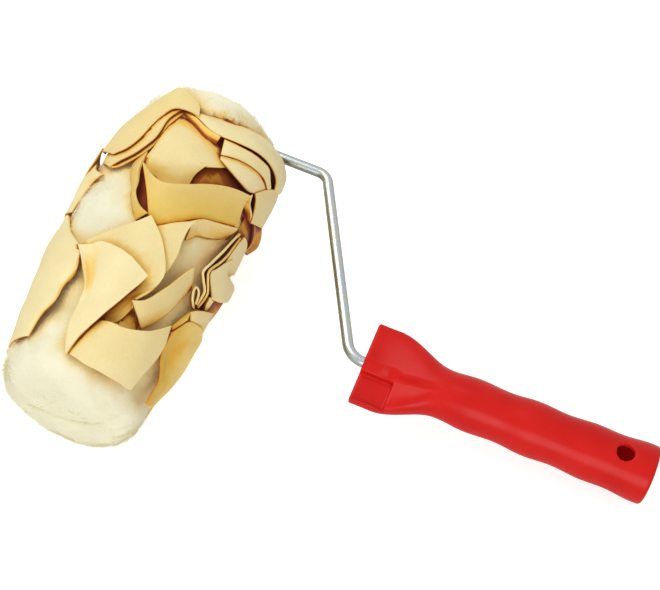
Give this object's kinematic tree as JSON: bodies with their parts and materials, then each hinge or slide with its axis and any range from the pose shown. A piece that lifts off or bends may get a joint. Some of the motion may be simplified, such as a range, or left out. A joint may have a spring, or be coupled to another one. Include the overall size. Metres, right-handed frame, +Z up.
{
  "type": "textured pattern roller",
  "caption": "Paint roller for broken-colour patterns: fleece cover with folded leather strips, turning on a bent wire frame with a moulded handle.",
  "frame": {"origin": "centre of the bounding box's footprint, on the ground the tool lies on", "axes": "+Z up; +X along the axle to the closed end of the cover; +Y from the cover towards the butt of the handle"},
  "size_m": [0.1966, 0.3312, 0.0924],
  "materials": {
    "zinc_steel": "bright zinc-plated drawn rod",
    "red_plastic": "moulded polypropylene, soft gloss",
    "cap_plastic": "moulded black polypropylene",
    "bush_nylon": "natural nylon",
    "core_board": "resin-soaked paper tube",
    "cream_fleece": "deep woven pile fleece",
    "chamois": "soft suede-like chamois leather, folded"
  },
  "bodies": {
    "frame": {"wire_frame": "zinc_steel", "handle": "red_plastic", "stop_collar": "zinc_steel", "push_nut": "zinc_steel", "thrust_washer_inner": "zinc_steel", "thrust_washer_outer": "zinc_steel"},
    "roller": {"core_tube": "core_board", "end_cap_inner": "cap_plastic", "end_cap_outer": "cap_plastic", "bearing_bush_inner": "bush_nylon", "bearing_bush_outer": "bush_nylon", "fleece_sleeve": "cream_fleece", "leather_strip_01": "chamois", "leather_strip_02": "chamois", "leather_strip_03": "chamois", "leather_strip_04": "chamois", "leather_strip_05": "chamois", "leather_strip_06": "chamois", "leather_strip_07": "chamois", "leather_strip_08": "chamois", "leather_strip_09": "chamois", "leather_strip_10": "chamois", "leather_strip_11": "chamois", "leather_strip_12": "chamois", "leather_strip_13": "chamois", "leather_strip_14": "chamois", "leather_strip_15": "chamois", "leather_strip_16": "chamois", "leather_strip_17": "chamois", "leather_strip_18": "chamois", "leather_strip_19": "chamois", "leather_strip_20": "chamois", "leather_strip_21": "chamois", "leather_strip_22": "chamois", "leather_strip_23": "chamois", "leather_strip_24": "chamois", "leather_strip_25": "chamois", "leather_strip_26": "chamois", "leather_strip_27": "chamois", "leather_strip_28": "chamois"}
  },
  "joints": [
    {"name": "roller_spin", "type": "hinge", "parent": "frame", "child": "roller", "pos_m": [0.00615, -0.11985, 0.0462], "axis": [1, 0, 0], "continuous": true}
  ]
}
